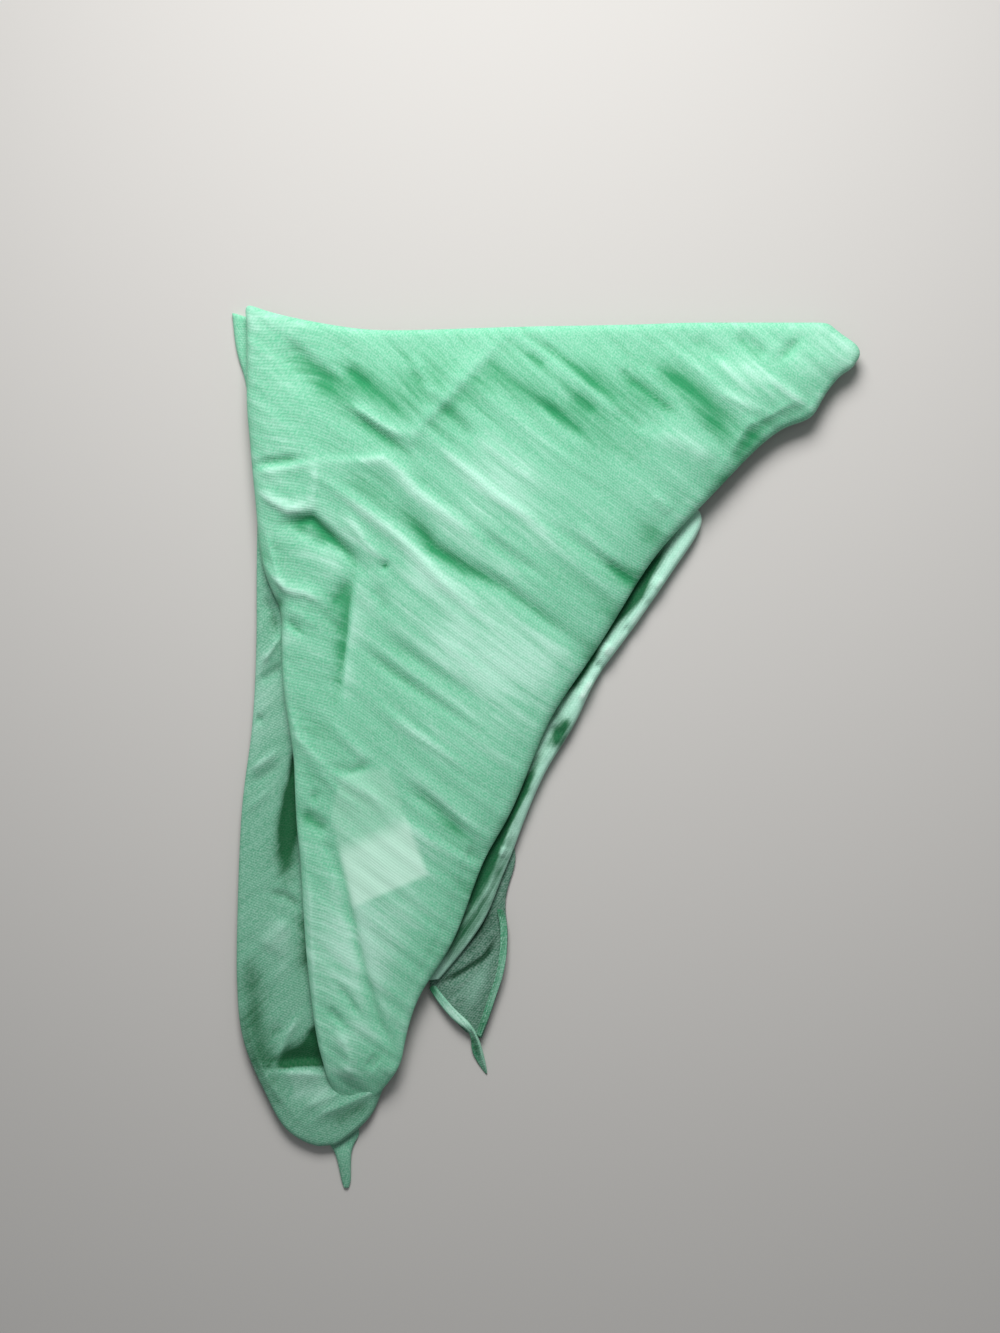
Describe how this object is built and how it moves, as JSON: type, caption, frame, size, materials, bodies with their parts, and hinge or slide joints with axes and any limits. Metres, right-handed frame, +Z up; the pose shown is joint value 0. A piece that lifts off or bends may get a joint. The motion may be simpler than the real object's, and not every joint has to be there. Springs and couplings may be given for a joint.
{
  "type": "sarong",
  "caption": "Thin plain-woven sarong folded many times into a flat pointed wedge, with folded layers, a turned-out hemmed corner and a sewn-in care label.",
  "frame": {"origin": "on the surface it lies on, under the middle of its outline", "axes": "+Z up from the surface, +Y towards the long top fold, +X towards the pointed wing"},
  "size_m": [0.2624, 0.3726, 0.018],
  "materials": {
    "cloth": "thin plain weave, slightly sheer",
    "hem": "cloth turned twice and stitched",
    "label": "plain satin ribbon"
  },
  "bodies": {
    "root": {"top_ply": "cloth", "side_ply": "cloth", "second_fold": "cloth", "folded_stack": "cloth", "rear_corner": "cloth", "bottom_point": "cloth", "hemmed_corner": "cloth", "hemmed_corner_point": "hem", "side_hem": "hem", "end_hem": "hem", "care_label": "label"}
  },
  "joints": []
}
